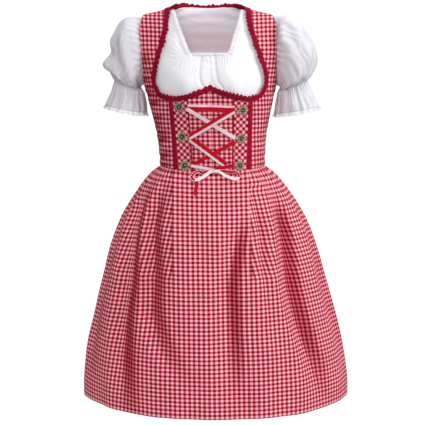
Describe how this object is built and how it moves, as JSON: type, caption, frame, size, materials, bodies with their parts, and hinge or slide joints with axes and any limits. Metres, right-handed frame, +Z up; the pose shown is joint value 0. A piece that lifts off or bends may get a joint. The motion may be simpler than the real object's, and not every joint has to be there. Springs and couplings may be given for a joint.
{
  "type": "dirndl dress with blouse",
  "caption": "Knee-length gingham dirndl with a laced bodice, ruffled neckline and full skirt, over a short white puff-sleeved blouse.",
  "frame": {"origin": "midway between the two shoulder seams, where the straps lie on the wearer's shoulders", "axes": "+Z up along the wearer's height, -Y out of the dress front, +X to the viewer's right"},
  "size_m": [0.6698, 0.4971, 0.9816],
  "materials": {
    "gingham": "woven cotton in a small red and white check, matt",
    "trim": "dark red cotton, ruffled at its edge, matt",
    "ribbon_red": "red satin ribbon, soft sheen",
    "ribbon_pale": "pale pink satin ribbon, soft sheen",
    "blouse_cotton": "fine white cotton, matt",
    "lace": "white cotton lace edging, matt",
    "button_metal": "dull antique silver, cast as an openwork flower"
  },
  "bodies": {
    "root": {"centre_front_left": "gingham", "centre_front_right": "gingham", "placket_left": "gingham", "placket_right": "gingham", "side_front_left": "gingham", "side_front_right": "gingham", "bodice_back": "gingham", "skirt_front_left": "gingham", "skirt_front_middle": "gingham", "skirt_front_right": "gingham", "skirt_back_right": "gingham", "skirt_back_left": "gingham", "neck_trim_front": "trim", "neck_trim_back": "trim", "princess_band_left": "trim", "princess_band_right": "trim", "placket_edge_left": "trim", "placket_edge_right": "trim", "lacing_top_red": "ribbon_red", "lacing_upper_up_red": "ribbon_red", "lacing_lower_down_red": "ribbon_red", "lacing_lower_up_red": "ribbon_red", "lacing_bottom_right": "ribbon_red", "bow_knot": "ribbon_red", "bow_loop_left_red": "ribbon_red", "bow_tail_left_red": "ribbon_red", "lacing_top_pale": "ribbon_pale", "lacing_upper_down_pale": "ribbon_pale", "lacing_upper_up_pale": "ribbon_pale", "lacing_lower_down_pale": "ribbon_pale", "lacing_bottom_left": "ribbon_pale", "bow_loop_right_pale": "ribbon_pale", "blouse_front": "blouse_cotton", "blouse_back": "blouse_cotton", "sleeve_left": "blouse_cotton", "sleeve_right": "blouse_cotton", "neck_lace_front": "lace", "neck_lace_left": "lace", "neck_lace_right": "lace", "sleeve_lace_left": "lace", "sleeve_lace_right": "lace", "button_left_top": "button_metal", "button_left_middle": "button_metal", "button_left_bottom": "button_metal", "button_right_top": "button_metal", "button_right_middle": "button_metal", "button_right_bottom": "button_metal"}
  },
  "joints": []
}
